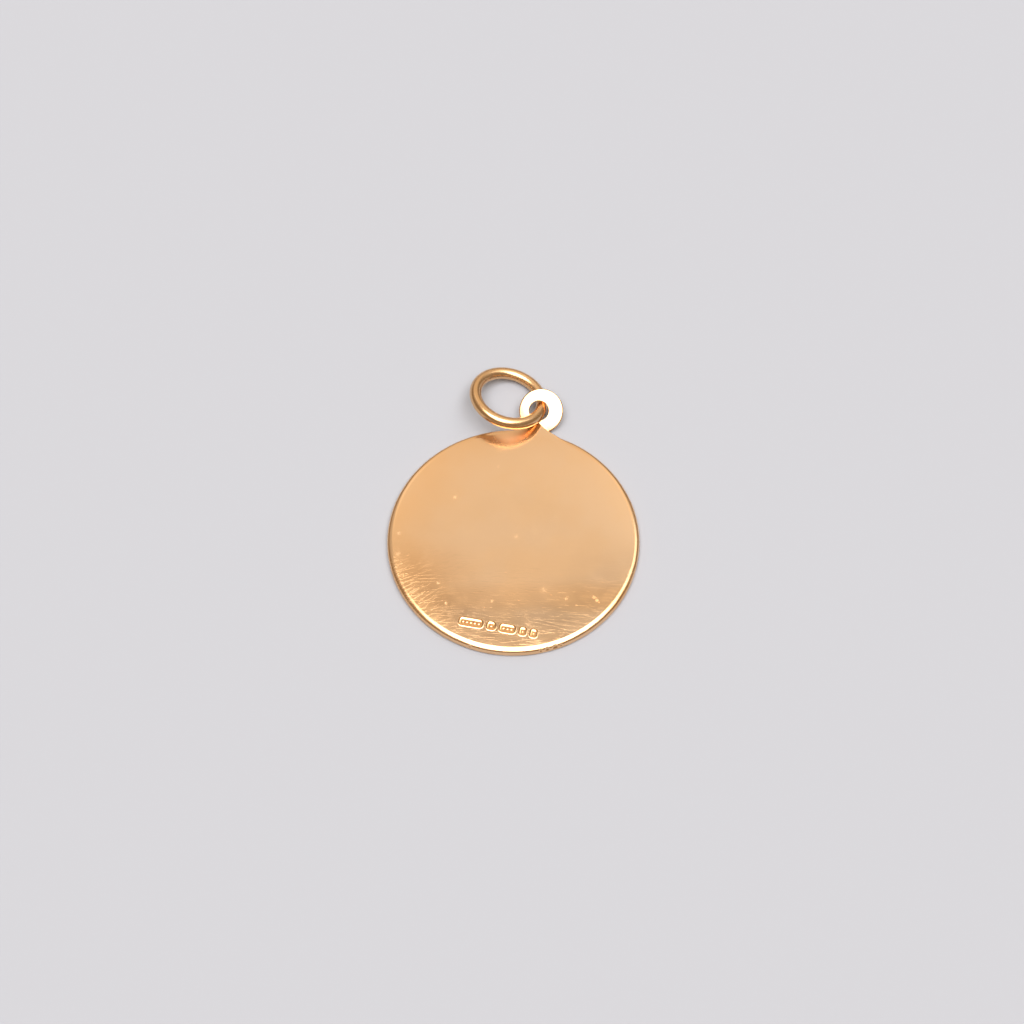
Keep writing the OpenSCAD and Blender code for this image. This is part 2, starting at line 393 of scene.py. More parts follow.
def steps_between(first: float, last: float, steps: int) -> list[float]:
    """Evenly spaced numbers from first to last, one more than there are steps."""
    return [first + (last - first) * i / steps for i in range(steps + 1)]


def loft_faces(start: int, rings: int, count: int) -> list[tuple[int, ...]]:
    """Faces between rings of points, closed at both ends.

    Args:
        start: The number of the first point.
        rings: How many rings there are, each turning left as it is seen from the last one's side.
        count: How many points each of them holds.

    Returns:
        The faces, which point outwards.
    """
    last = start + (rings - 1) * count
    faces = [tuple(start + i for i in reversed(range(count))), tuple(last + i for i in range(count))]
    for k in range(start, last, count):
        faces += [(k + i, k + (i + 1) % count, k + count + (i + 1) % count, k + count + i)
                  for i in range(count)]
    return faces


@dataclass(frozen=True)
class Crown:
    """The shape of the plain back: a flat middle that falls in an arc towards the rim.

    Attributes:
        top: Height of the middle.
        start: Radius at which the fall starts.
        arc: Radius of the arc.
    """

    top: float = 0.92 * MM
    start: float = 4 * MM
    arc: float = 75 * MM

    def height(self, r: float) -> float:
        """Height of the back at a distance from the disc's centre."""
        run = max(r - self.start, 0)
        return self.top - self.arc + math.sqrt(self.arc ** 2 - run ** 2)

    def slope(self, r: float) -> float:
        """How fast the back falls at a distance from the disc's centre."""
        run = max(r - self.start, 0)
        return run / math.sqrt(self.arc ** 2 - run ** 2)

    def on(self, x: float, y: float) -> Vector:
        """The point of the back above a place."""
        return Vector((x, y, self.height(math.hypot(x, y))))

    def normal(self, x: float, y: float) -> Vector:
        """The back's true normal above a place."""
        r = max(math.hypot(x, y), WELD)
        fall = self.slope(r)
        return Vector((fall * x / r, fall * y / r, 1)).normalized()


@dataclass(frozen=True)
class Hairlines:
    """A set of straight fine scratches of about one direction.

    Attributes:
        angle: Their direction in degrees, turning left from the X axis.
        cell: How far apart they stand.
        stretch: How many times longer their cells are than wide.
        width: Half the width of a line.
        fan: How much their directions differ, as a slope.
        share: How many of the cells hold one, from 0 to 1.
        left: Whether they keep to the left of the lower part.
    """

    angle: float
    cell: float
    stretch: float
    width: float
    fan: float
    share: float
    left: bool = False

    def draw(self, metal: Surface) -> bpy.types.NodeSocket:
        """Draws one straight line in each cell of a stretched pattern of cells.

        Args:
            metal: The nodes that they go into.

        Returns:
            Where there is a line, from 0 to 1.
        """
        place = metal.turned(self.stretch, math.radians(self.angle))
        wires = {"Vector": place, "Scale": 1 / self.cell}
        cells = metal.add("ShaderNodeTexVoronoi", wires, voronoi_dimensions="2D").outputs
        off = metal.vector("SUBTRACT", place, cells["Position"]).outputs[0]
        from_middle = metal.add("ShaderNodeSeparateXYZ", {0: off}).outputs
        chance = metal.add("ShaderNodeSeparateXYZ", {0: cells["Color"]}).outputs
        along = metal.math("MULTIPLY", from_middle["X"], self.stretch)
        fan = metal.math("MULTIPLY", metal.math("SUBTRACT", chance["X"], 0.5), self.fan)
        across = metal.math("ADD", from_middle["Y"], metal.math("MULTIPLY", along, fan))
        reach = metal.math("MULTIPLY", chance["Y"], 0.45 * self.stretch * self.cell)
        ends = metal.math("SUBTRACT", reach, metal.math("ABSOLUTE", along))
        line = metal.math("MULTIPLY", metal.ranged(metal.math("ABSOLUTE", across), 0, self.width, 1, 0),
                          metal.ranged(ends, 0, 0.1 * MM, 0, 1))
        return metal.math("MULTIPLY", line, metal.math("LESS_THAN", chance["Z"], self.share))


@dataclass(frozen=True)
class GoldFinish:
    """The finish of yellow gold that is rubbed with use, with painted shade in part of its colour.

    Attributes:
        name: The material's name.
        base: Colour of the polished metal.
        warm: The warmer colour that it takes in broad patches.
        deep: Colour in recesses, where polish and dirt have stayed, and of the painted shade on the lower
            left and in the band above the marks.
        rough: Roughness of the polished metal.
        haze: How much the hairlines and smudges add to the roughness.
        grain: Strength of the fine brushing.
        spots: The x, y and width in mm of each rubbed spot, and how much rougher its middle is.
        low_left_shade: How much deeper the colour is towards the lower left of the back, as painted shade of
            the darker reflection there.
        rub: How much rougher the metal is by the rim where it is rubbed the most.
        band_shade: How much deeper the colour is in a band above the row of marks, as painted shade of the
            darker reflection there.
        hairlines: The sets of fine scratches.
    """

    name: str
    base: Colour
    warm: Colour
    deep: Colour
    rough: float
    haze: float
    grain: float
    spots: tuple[tuple[float, float, float, float], ...] = ()
    low_left_shade: float = 0.0
    rub: float = 0.0
    band_shade: float = 0.0
    hairlines: tuple[Hairlines, ...] = ()

    def dress(self) -> bpy.types.Material:
        """Builds the material's nodes.

        Returns:
            The material.
        """
        metal = Surface(self.name)
        times, plus = partial(metal.math, "MULTIPLY"), partial(metal.math, "ADD")
        recess, frost = metal.mask("recess"), metal.mask("frost")
        near = plus(times(metal.y, -math.cos(TURN)), times(metal.x, math.sin(TURN)))
        left = times(metal.x, -1.0)
        low_third = metal.ranged(near, 1 * MM, 5 * MM, 0.06, 0.55)
        low_left = times(metal.ranged(near, -0.5 * MM, 3 * MM, 0, 1),
                         metal.ranged(left, 1 * MM, 7 * MM, 0.15, 1))

        # Painted shade: a band above the row of marks takes the deep colour, in place of the darker
        # reflection seen there.
        band = times(metal.ranged(near, 3.2 * MM, 5 * MM, 0, 1), metal.ranged(near, 5.7 * MM, 7 * MM, 1, 0))
        band = times(band, metal.ranged(left, -7 * MM, -3 * MM, 1.6, 1))
        # Painted shade: the lower left also takes the deep colour, in place of its darker reflection; the
        # recesses take it as patina.
        patina_and_shade = metal.math("MAXIMUM", recess, times(low_left, self.low_left_shade))
        patina_and_shade = metal.math("MAXIMUM", patina_and_shade, times(band, self.band_shade))
        patches = metal.ranged(metal.noise(260), 0.35, 0.7, 0, 1)
        colour = metal.tint(patina_and_shade, metal.tint(patches, self.base, self.warm), self.deep)
        metal.feed(metal.shader.inputs["Base Color"], colour)

        hairlines: Any = 0.0
        for lines in self.hairlines:
            found = times(lines.draw(metal), times(low_left, 0.9) if lines.left else low_third)
            hairlines = metal.math("MAXIMUM", hairlines, found)

        smudges = metal.ranged(metal.noise(700, detail=4), 0.3, 0.75, 0, 1)
        rough = plus(plus(self.rough, times(smudges, self.haze)), times(hairlines, 2 * self.haze))
        out = metal.vector("LENGTH", metal.flat).outputs["Value"]
        by_rim = times(metal.ranged(out, 7.8 * MM, 9.6 * MM, 0, 1), low_left)
        fine = metal.ranged(metal.noise(2600, 5, math.radians(35)), 0.35, 0.7, 0.5, 1)
        rough = plus(rough, times(times(by_rim, fine), self.rub))
        for x, y, width, more in self.spots:
            away = metal.vector("DISTANCE", metal.flat, (x * MM, y * MM, 0)).outputs["Value"]
            rough = plus(rough, metal.ranged(away, 0, width * MM, more, 0))
        metal.feed(metal.shader.inputs["Roughness"], plus(rough, times(frost, 0.25)))

        # heights in thousandths of a millimetre
        grain = times(metal.noise(14000, 60, -TURN, 1), self.grain)
        stipple = times(metal.noise(16000), times(frost, 6.0))
        waves = times(metal.noise(900, turn=0.2), 1.5)
        height = plus(plus(plus(grain, times(hairlines, -2.0)), stipple), waves)
        bump = metal.add("ShaderNodeBump", {"Strength": 1.0, "Distance": 0.001 * MM, "Height": height})
        metal.feed(metal.shader.inputs["Normal"], bump.outputs[0])
        return metal.material


@dataclass
class Mark:
    """One blank punch mark: a shallow sunk shield with plain pips standing in it.

    Attributes:
        width: Its width.
        pips: How many plain pips stand in it, side by side.
    """

    width: float
    pips: int


@dataclass
class Disc:
    """The round disc with its eye and solder, which are one piece of metal."""

    crown: Crown
    radius: float = 10 * MM
    edge_start: float = 9.5 * MM
    edge_arc: float = 0.9 * MM
    back_round: float = 0.27 * MM
    front_round: float = 0.12 * MM
    segments: int = 600
    relief: float = 0.15 * MM
    border: float = 0.85 * MM
    stroke: float = 0.22 * MM
    sign: float = 1 * MM
    inner_ring: float = 3.9 * MM
    sun: float = 1.5 * MM
    rays: int = 12
    eye: float = 1.77 * MM
    eye_hole: float = 0.8 * MM
    eye_shift: float = 0.18 * MM
    eye_thick: float = 0.3 * MM
    eye_tilt: float = math.radians(30)
    eye_reach: float = 1.66 * MM
    eye_lift: float = 0.02 * MM
    mark_row: float = 7.9 * MM
    mark_height: float = 0.8 * MM
    mark_shift: float = 0.3 * MM
    mark_gap: float = 0.22 * MM
    mark_depth: float = 0.07 * MM
    unevenness: float = 0.025 * MM

    MARKS = (Mark(2 * MM, 5), Mark(0.8 * MM, 1), Mark(1.35 * MM, 3), Mark(0.65 * MM, 1), Mark(0.65 * MM, 1))
    # from the bottom up, how far the outline stands in from a mark's edge, and its height, in mm
    PUNCH = ((0.2, -0.072), (0.17, -0.068), (0.12, -0.055), (0.02, -0.012), (0, 0.009), (0, 0.2))
    BURR = ((-0.05, -0.05), (-0.05, -0.002), (-0.02, 0.006), (0.02, 0.009), (0.06, 0.009))
    # x, y and width in mm of the pits on the back
    PITS = ((-5.26, 2.73, 0.13), (-9.01, -1.21, 0.1), (-8.89, -3.38, 0.1), (0.17, 0.2, 0.1),
            (-0.6, -5.77, 0.14), (7.23, -3.89, 0.14), (7.47, -4.07, 0.12), (7.7, -4.25, 0.14),
            (-5.09, -5.01, 0.15), (-4.12, -6.64, 0.15), (-1.11, -6.41, 0.09), (1.49, -5.36, 0.09),
            (3.87, -4.36, 0.1), (5.1, -4.48, 0.12), (-2.4, 6.1, 0.09), (5.2, 3.4, 0.08))
    # y of places along the solder tab, and half its width there, in mm
    TAB = ((8.9, 3.5), (9.2, 3.25), (9.4, 2.95), (9.6, 2.5), (9.75, 2.1), (9.88, 1.72), (10.04, 1.32),
           (10.2, 0.98), (10.4, 0.64), (10.62, 0.34), (10.78, 0.17), (10.88, 0.05))
    # azimuth in degrees, width and depth in mm of the nicks in the edge
    NICKS = ((-66.5, 0.3, 0.05), (-63.5, 0.35, 0.07), (-59.8, 0.45, 0.08), (-57, 0.25, 0.05),
             (-99, 0.3, 0.03))

    def __post_init__(self) -> None:
        """Works out what follows from the driving sizes."""
        self.field = self.radius - self.border
        fall = math.atan(self.crown.slope(self.edge_start))
        self.arc_x = self.edge_start - self.edge_arc * math.sin(fall)
        self.arc_z = self.crown.height(self.edge_start) - self.edge_arc * math.cos(fall)
        self.round_x = self.radius - self.back_round
        run = self.round_x - self.arc_x
        rise = math.sqrt((self.edge_arc - self.back_round) ** 2 - run ** 2)
        self.round_z = self.arc_z + rise
        lean = math.atan2(run, rise)
        self.leans = (90 - math.degrees(fall), 90 - math.degrees(lean))
        self.corner = (self.arc_x + self.edge_arc * math.sin(lean),
                       self.arc_z + self.edge_arc * math.cos(lean))
        self.house = (self.inner_ring + self.field) / 2
        eye_z = (self.eye * math.sin(self.eye_tilt) + self.eye_thick / 2 * math.cos(self.eye_tilt)
                 + self.eye_lift)
        self.at_eye = (Matrix.Translation((0, self.radius + self.eye_reach, eye_z))
                       @ Matrix.Rotation(self.eye_tilt, 4, "X"))

    def blank(self, lathe: NodeSketch) -> bpy.types.Mesh:
        """The plain round disc with its field sunk into the front.

        Args:
            lathe: The tree that turns a section.

        Returns:
            A closed mesh.
        """
        soft = 0.04 * MM
        lip = [(self.field + soft, 0), (self.field, 0.012 * MM), (self.field - soft, self.relief - 0.02 * MM),
               (self.field - 2 * soft, self.relief)]
        inner = [(r, self.relief) for r in steps_between(self.field - 0.3 * MM, 0, 14)]
        outer = arc_points((self.radius - self.front_round, self.front_round), self.front_round, -90, 0, 6)
        edge = arc_points((self.round_x, self.round_z), self.back_round, 0, self.leans[1], 10)
        edge += arc_points((self.arc_x, self.arc_z), self.edge_arc, self.leans[1], self.leans[0], 14)[1:]
        fall = [(r, self.crown.height(r)) for r in steps_between(self.edge_start, self.crown.start, 26)[1:]]
        flat = [(r, self.crown.top) for r in steps_between(self.crown.start, 0, 8)[1:]]
        wall = [(self.radius, z) for z in steps_between(self.front_round, self.round_z, 4)[1:-1]]
        section = list(reversed(inner)) + list(reversed(lip)) + outer + wall + edge + fall + flat
        mesh = lathe.run(row_of("disc_gold", section), Segments=self.segments)
        for vertex in mesh.vertices:
            r = math.hypot(vertex.co.x, vertex.co.y)
            if r > self.field + 0.1 * MM:
                swell = noise.noise(Vector((vertex.co.x, vertex.co.y, 0)) * 700)
                fine = noise.noise(vertex.co * 2600 + Vector((7, 3, 1)))
                beside = math.degrees(abs(math.atan2(vertex.co.x, vertex.co.y)))
                grow = (r - self.field) / self.border * min(max((beside - 22) / 10, 0), 1)
                move = -self.unevenness * grow * (0.5 + 0.35 * swell + 0.25 * fine)
                vertex.co.x += vertex.co.x / r * move
                vertex.co.y += vertex.co.y / r * move
        return mesh

    def sign_paths(self) -> bpy.types.Mesh:
        """The middle lines of the signs, the lines between the houses and the ring inside them."""
        verts: list[Vector] = []
        edges: list[tuple[int, int]] = []

        def lay(points: Sequence[Point], place: Matrix, closed: bool = False) -> None:
            """Adds one row of points."""
            start = len(verts)
            verts.extend(place @ Vector((x, y, 0)) for x, y in points)
            edges.extend((start + i, start + i + 1) for i in range(len(points) - 1))
            if closed:
                edges.append((len(verts) - 1, start))

        turns = [math.pi / 2 - math.tau * i / len(Sign) for i in range(len(Sign))]
        for sign, turn in zip(Sign, turns):
            bars, arcs = sign.value
            spin = Matrix.Rotation(turn, 4, "Z")
            place = spin @ Matrix.Translation((self.house, 0, 0)) @ Matrix.Rotation(-math.pi / 2, 4, "Z")
            place = place @ Matrix.Scale(self.sign, 4)
            for x0, y0, x1, y1 in bars:
                lay([(x0, y0), (x1, y1)], place)
            for x, y, r, first, last in arcs:
                points = arc_points((x, y), r, first, last, 28)
                whole = last - first >= 360
                lay(points[:-1] if whole else points, place, whole)
            between = Matrix.Rotation(turn + math.pi / len(Sign), 4, "Z")
            lay([(self.inner_ring, 0), (self.field + self.border / 3, 0)], between)
        lay(arc_points((0, 0), self.inner_ring, 0, 360, 180)[:-1], Matrix.Identity(4), True)
        return new_mesh("sign_paths", verts, edges)

    def wheel(self, lathe: NodeSketch, strokes: NodeSketch) -> bpy.types.Mesh:
        """The raised wheel of the front: signs, house lines, ring, and the sun with its rays.

        Args:
            lathe: The tree that turns a section.
            strokes: The tree that lays raised strokes.

        Returns:
            A closed mesh in its place on the front.
        """
        half, root, crest = self.stroke / 2, 0.04 * MM, self.relief - 0.004 * MM
        outline = [(half * 1.1, -root), (half * 0.95, crest * 0.6), (half * 0.7, crest * 0.93),
                   (half * 0.35, crest)]
        section = [(-x, -z) for x, z in outline] + [(x, -z) for x, z in reversed(outline)]
        profile = as_object(row_of("stroke_section", list(reversed(section)), closed=True, flat=True))
        dome = [(0, -root)] + outline + [(0, crest)]
        cap = as_object(lathe.run(row_of("stroke_end", dome), Segments=12))
        wheel = strokes.run(self.sign_paths(), Section=profile, Cap=cap)
        boss = [(0, -root), (self.sun, -root)]
        boss += arc_points((self.sun - 0.1 * MM, self.relief - 0.1 * MM), 0.1 * MM, 0, 70, 6)
        boss += [(self.sun * 0.9, self.relief * 0.99), (self.sun * 0.5, self.relief), (0, self.relief)]
        wheel = combine(wheel, lathe.run(row_of("sun", boss), Segments=96), Join.FUSE)
        wheel = combine(wheel, self.sun_rays(), Join.FUSE)
        for piece in (profile, cap):
            bpy.data.objects.remove(piece)
        wheel.transform(Matrix.Translation((0, 0, self.relief)) @ Matrix.Rotation(math.pi, 4, "Y"))
        return wheel

    def sun_rays(self) -> bpy.types.Mesh:
        """The sun's rays: long roofs that sink towards their tips."""
        root, near, far = -0.04 * MM, self.sun * 0.9, self.inner_ring * 0.8
        half, crest = 0.28 * MM, self.relief * 0.96
        verts: list[Vector] = []
        faces: list[tuple[int, ...]] = []
        for i in range(self.rays):
            spin = Matrix.Rotation(math.tau * i / self.rays, 4, "Z")
            start = len(verts)
            low = [(near, -half), (far, -0.01 * MM), (far, 0.01 * MM), (near, half)]
            verts.extend(spin @ Vector((x, y, root)) for x, y in low)
            verts.extend(spin @ Vector((x, y, crest * 0.35 + root * (x > near))) for x, y in low)
            verts.extend(spin @ Vector(p) for p in ((near, 0, crest), (far, 0, crest * 0.3)))
            a, b, c, d, e, f, g, h, top, tip = range(start, start + 10)
            faces += [(d, c, b, a), (a, b, f, e), (c, d, h, g), (b, c, g, tip, f), (d, a, e, top, h),
                      (e, f, tip, top), (g, h, top, tip)]
        return new_mesh("sun_rays", verts, faces=faces)

    def washer(self, lathe: NodeSketch) -> bpy.types.Mesh:
        """The bent-up washer, with softened edges and no hole yet."""
        soft, half = 0.1 * MM, self.eye_thick / 2
        section = [(0, -half), (self.eye * 0.5, -half)]
        section += arc_points((self.eye - soft, -half + soft), soft, -90, 0, 8)
        section += arc_points((self.eye - soft, half - soft), soft, 0, 90, 8)
        section += [(self.eye * 0.5, half), (0, half)]
        mesh = lathe.run(row_of("washer", section), Segments=160)
        mesh.transform(self.at_eye)
        return mesh

    def eye_cutter(self, lathe: NodeSketch) -> bpy.types.Mesh:
        """What is cut out of the washer: its hole, with softened lips."""
        lip, half, reach = 0.03 * MM, self.eye_thick / 2, 0.6 * MM
        upper = [(self.eye_hole + lip - lip * math.cos(a), half - lip + lip * math.sin(a))
                 for a in (math.radians(10 * i) for i in range(9))]
        upper += [(self.eye_hole + lip * 1.3, half + lip), (self.eye_hole + lip * 1.3, reach), (0, reach)]
        section = [(x, -z) for x, z in reversed(upper)] + upper
        mesh = lathe.run(row_of("eye_cutter", section), Segments=96)
        mesh.transform(self.at_eye @ Matrix.Translation((-self.eye_shift, 0, 0)))
        return mesh

    def rim_height(self, r: float) -> float:
        """Height of the disc's own surface at a distance from its centre, and of its wall outside it."""
        if r < self.edge_start:
            return self.crown.height(r)
        if r < self.corner[0]:
            return self.arc_z + math.sqrt(self.edge_arc ** 2 - (r - self.arc_x) ** 2)
        return self.round_z + math.sqrt(max(self.back_round ** 2 - (r - self.round_x) ** 2, 0))

    def tab_half(self, y: float) -> float:
        """Half the solder tab's width at a distance from the disc's centre."""
        k = max(i for i in range(len(self.TAB) - 1) if self.TAB[i][0] * MM <= y or i == 0)
        (y0, w0), (y1, w1) = self.TAB[k], self.TAB[k + 1]
        return max((w0 + (w1 - w0) * (y / MM - y0) / (y1 - y0)) * MM, 0)

    def tab_height(self, x: float, y: float) -> float:
        """Height of the solder tab, which carries the back's surface on and melts into the rim."""
        half, r, start, fade = self.tab_half(y), math.hypot(x, y), 9.4 * MM, 1.3 * MM
        soft = min(0.1 * MM, half * 0.8)
        run = min(max(r - start, 0), fade)
        z = self.crown.height(min(r, start)) - self.crown.slope(start) * (run - run * run / (2 * fade))
        blend = (1.5 - 1.3 * min(max((y / MM - 9.3) / 0.6, 0), 1)) * MM
        share = min(max((half - abs(x)) / blend, 0), 1)
        z -= (z - self.rim_height(r)) * (1 - share * share * (3 - 2 * share))
        over = max(abs(x) - (half - soft), 0)
        return z - soft + math.sqrt(max(soft * soft - over * over, 0))

    def far_height(self, x: float, y: float) -> float:
        """Height of the metal round the solder tab: the higher of the rim and the tab."""
        r = math.hypot(x, y)
        rim = self.rim_height(r) if r < self.radius else 0
        return max(rim, self.tab_height(x, y)) if y < self.TAB[-1][0] * MM else rim

    def far_normal(self, x: float, y: float) -> Vector:
        """The true normal of the metal round the solder tab."""
        step = 0.005 * MM
        run_x = self.far_height(x + step, y) - self.far_height(x - step, y)
        run_y = self.far_height(x, y + step) - self.far_height(x, y - step)
        return Vector((-run_x, -run_y, 2 * step)).normalized()

    def solder(self) -> bpy.types.Mesh:
        """The solder tab between the rim and the washer."""
        rows, across, floor_z = 44, 28, 0.2 * MM
        verts: list[tuple[float, ...]] = []
        for y in steps_between(self.TAB[0][0] * MM, self.TAB[-1][0] * MM, rows):
            half = self.tab_half(y)
            xs = [half * math.sin(math.radians(side)) for side in steps_between(-90, 90, across)]
            verts += [(x, y, self.tab_height(x, y)) for x in xs] + [(x, y, floor_z) for x in reversed(xs)]
        tab = new_mesh("solder", verts, faces=loft_faces(0, rows + 1, 2 * (across + 1)))
        corners = [(x, y, z) for z in (-3 * MM, -self.eye_thick / 2) for y in (-8 * MM, 8 * MM)
                   for x in (-4 * MM, 4 * MM)]
        under = new_mesh("under_washer", corners, faces=[(0, 2, 3, 1), (4, 5, 7, 6), (0, 1, 5, 4),
                                                         (2, 6, 7, 3), (0, 4, 6, 2), (1, 3, 7, 5)])
        under.transform(self.at_eye)
        return combine(tab, under, Join.CUT)

    def mark_solids(self, levels: Sequence[Point]) -> bpy.types.Mesh:
        """Solids of the outlines of the marks: the punches that sink them, or the metal thrown up.

        Args:
            levels: From the bottom up, how far the outline stands in from a mark's edge, and its
                height above the back, in mm.

        Returns:
            Closed meshes in one, each upright to the back where it stands.
        """
        verts: list[Vector] = []
        faces: list[tuple[int, ...]] = []
        for mark, x in zip(self.MARKS, self.mark_places()):
            place, start = self.stand(x, -self.mark_row), len(verts)
            half_h, half_w = self.mark_height / 2, mark.width / 2
            corner = min(half_h, half_w) * 0.75
            for inset, level in levels:
                for sx, sy, first in ((1, 1, 0), (-1, 1, 90), (-1, -1, 180), (1, -1, 270)):
                    centre = (sx * (half_w - corner), sy * (half_h - corner))
                    arc = arc_points(centre, corner - inset * MM, first, first + 90, 7)
                    verts += [place @ Vector((u, v, level * MM)) for u, v in arc]
            faces += loft_faces(start, len(levels), (len(verts) - start) // len(levels))
        return new_mesh("marks", verts, faces=faces)

    def stand(self, x: float, y: float) -> Matrix:
        """The place on the back above a point, with Z along the back's normal."""
        lean = Vector((0, 0, 1)).rotation_difference(self.crown.normal(x, y)).to_matrix().to_4x4()
        return Matrix.Translation(self.crown.on(x, y)) @ lean

    def mark_places(self) -> list[float]:
        """Where each mark's middle is, from left to right."""
        whole = sum(m.width for m in self.MARKS) + self.mark_gap * (len(self.MARKS) - 1)
        places, left = [], self.mark_shift - whole / 2
        for mark in self.MARKS:
            places.append(left + mark.width / 2)
            left += mark.width + self.mark_gap
        return places

    def points_with_size(self, name: str, points: Sequence[Vector], sizes: Sequence[float]) -> bpy.types.Mesh:
        """Makes loose points that each hold a size."""
        mesh = new_mesh(name, points)
        held = mesh.attributes.new("size", "FLOAT", "POINT")
        held.data.foreach_set("value", list(sizes))
        return mesh

    def pips(self, lathe: NodeSketch, scatter: NodeSketch) -> bpy.types.Mesh:
        """The plain pips that stand in the marks."""
        dome = [(0, -0.6), (0.5, -0.6), (0.5, 0), (0.44, 0.1), (0.34, 0.165), (0.2, 0.205), (0, 0.22)]
        shape = as_object(lathe.run(row_of("pip", dome), Segments=20))
        points, sizes = [], []
        for mark, x in zip(self.MARKS, self.mark_places()):
            size = min(self.mark_height, mark.width) * 0.34
            for i in range(mark.pips):
                step = (i - (mark.pips - 1) / 2) * size * 1.15
                place = self.stand(x + step, -self.mark_row)
                points.append(place @ Vector((0, 0, -self.mark_depth)))
                sizes.append(size)
        mesh = scatter.run(self.points_with_size("pips", points, sizes), Shape=shape)
        bpy.data.objects.remove(shape)
        return mesh

    def pit_cutter(self, lathe: NodeSketch, scatter: NodeSketch) -> bpy.types.Mesh:
        """The small balls that cut the pits, the ones that show and finer ones at random."""
        ball = [(math.sin(math.radians(a)), -math.cos(math.radians(a)) * 0.7) for a in range(0, 181, 20)]
        shape = as_object(lathe.run(row_of("ball", ball), Segments=10))
        draw = random.Random(5)
        places = [(x * MM, y * MM, d * MM / 2) for x, y, d in self.PITS]
        while len(places) < 70:
            r, angle = 9.4 * MM * math.sqrt(draw.random()), draw.uniform(0, math.tau)
            x, y, size = r * math.cos(angle), r * math.sin(angle), draw.uniform(0.015, 0.035) * MM
            clear = all(math.hypot(x - a, y - b) > 4 * (size + c) for a, b, c in places)
            if clear and not (abs(y + self.mark_row) < 0.7 * MM and abs(x) < 4.5 * MM):
                places.append((x, y, size))
        points = [self.crown.on(x, y) + Vector((0, 0, size * 0.35)) for x, y, size in places]
        mesh = scatter.run(self.points_with_size("pits", points, [p[2] for p in places]), Shape=shape)
        bpy.data.objects.remove(shape)
        return mesh

    def nick_cutter(self, lathe: NodeSketch) -> bpy.types.Mesh:
        """The flat balls that cut the nicks into the edge."""
        verts, faces = [], []
        ball = [(math.sin(math.radians(a)), -math.cos(math.radians(a))) for a in range(0, 181, 15)]
        shape = lathe.run(row_of("nick", ball), Segments=24)
        for azimuth, width, depth in self.NICKS:
            angle, start = math.radians(azimuth), len(verts)
            along = Matrix.Rotation(angle, 4, "Z")
            out, up = self.corner[0] + (0.5 - depth) * MM, self.corner[1] + 0.15 * MM
            place = along @ Matrix.Translation((out, 0, up))
            place = place @ Matrix.Diagonal((0.5 * MM, width * MM, 0.6 * MM, 1))
            verts += [place @ v.co for v in shape.vertices]
            faces += [tuple(start + i for i in p.vertices) for p in shape.polygons]
        bpy.data.meshes.remove(shape)
        return new_mesh("nicks", verts, faces=faces)

    def true_normals(self, face: bpy.types.MeshPolygon) -> Callable[[float, float], Vector] | None:
        """The rule for the normals of a face that lies on one of the disc's true surfaces, if it does."""
        x, y, z = face.center
        r = math.hypot(x, y)
        by_tab = y > 8.5 * MM and abs(x) < 3.8 * MM and r > 9.3 * MM and face.normal.z > 0.4
        if by_tab and abs(z - self.far_height(x, y)) < CLOSE:
            return self.far_normal
        level = abs(z - self.crown.height(r)) < CLOSE and r < self.edge_start + 0.02 * MM
        if level and face.normal.dot(self.crown.normal(x, y)) > 0.9994:
            return self.crown.normal
        in_field = abs(z - self.relief) < 0.001 * MM and face.normal.z < -0.9
        if in_field or abs(face.normal.z) > 0.9999:
            flat = Vector((0, 0, -1)) if in_field else face.normal.copy()
            return lambda x, y: flat
        return None

    def finish(self, mesh: bpy.types.Mesh) -> None:
        """Smooths the shading, sets the true normals, and stores where the metal is sunk or frosted.

        Args:
            mesh: The finished solid.
        """
        mesh.polygons.foreach_set("use_smooth", [True] * len(mesh.polygons))
        mesh.set_sharp_from_angle(angle=math.radians(28))
        mesh.update()
        normals = [corner.vector.copy() for corner in mesh.corner_normals]
        for face in mesh.polygons:
            rule = self.true_normals(face)
            for loop in face.loop_indices if rule else ():
                co = mesh.vertices[mesh.loops[loop].vertex_index].co
                normals[loop] = rule(co.x, co.y)
        mesh.normals_split_custom_set(normals)
        recess, frost = [], []
        for x, y, z in (vertex.co for vertex in mesh.vertices):
            r = math.hypot(x, y)
            on_back = z > 0.6 * MM and r < self.edge_start
            recess.append(min(max((self.crown.height(r) - z) / self.mark_depth, 0), 1) if on_back else 0.0)
            in_field = self.relief - 0.01 * MM < z < 0.2 * MM and r < self.field
            frost.append(1.0 if in_field else 0.0)
        for name, values in (("recess", recess), ("frost", frost)):
            mesh.attributes.new(name, "FLOAT", "POINT").data.foreach_set("value", values)

    def build(self, finish: GoldFinish) -> bpy.types.Object:
        """Builds the disc and dresses it.

        Args:
            finish: Its finish.

        Returns:
            The finished piece.
        """
        lathe, strokes, scatter = lathe_sketch(), stroke_sketch(), scatter_sketch()
        metal = self.blank(lathe)
        for tool, how in ((self.nick_cutter(lathe), Join.CUT), (self.wheel(lathe, strokes), Join.FUSE),
                          (self.solder(), Join.FUSE), (self.washer(lathe), Join.FUSE),
                          (self.eye_cutter(lathe), Join.CUT), (self.mark_solids(self.BURR), Join.FUSE),
                          (self.mark_solids(self.PUNCH), Join.CUT), (self.pips(lathe, scatter), Join.FUSE),
                          (self.pit_cutter(lathe, scatter), Join.CUT)):
            metal = combine(metal, tool, how)
        metal.name = "disc_gold"
        self.finish(metal)
        metal.materials.clear()
        metal.materials.append(finish.dress())
        return as_object(metal)


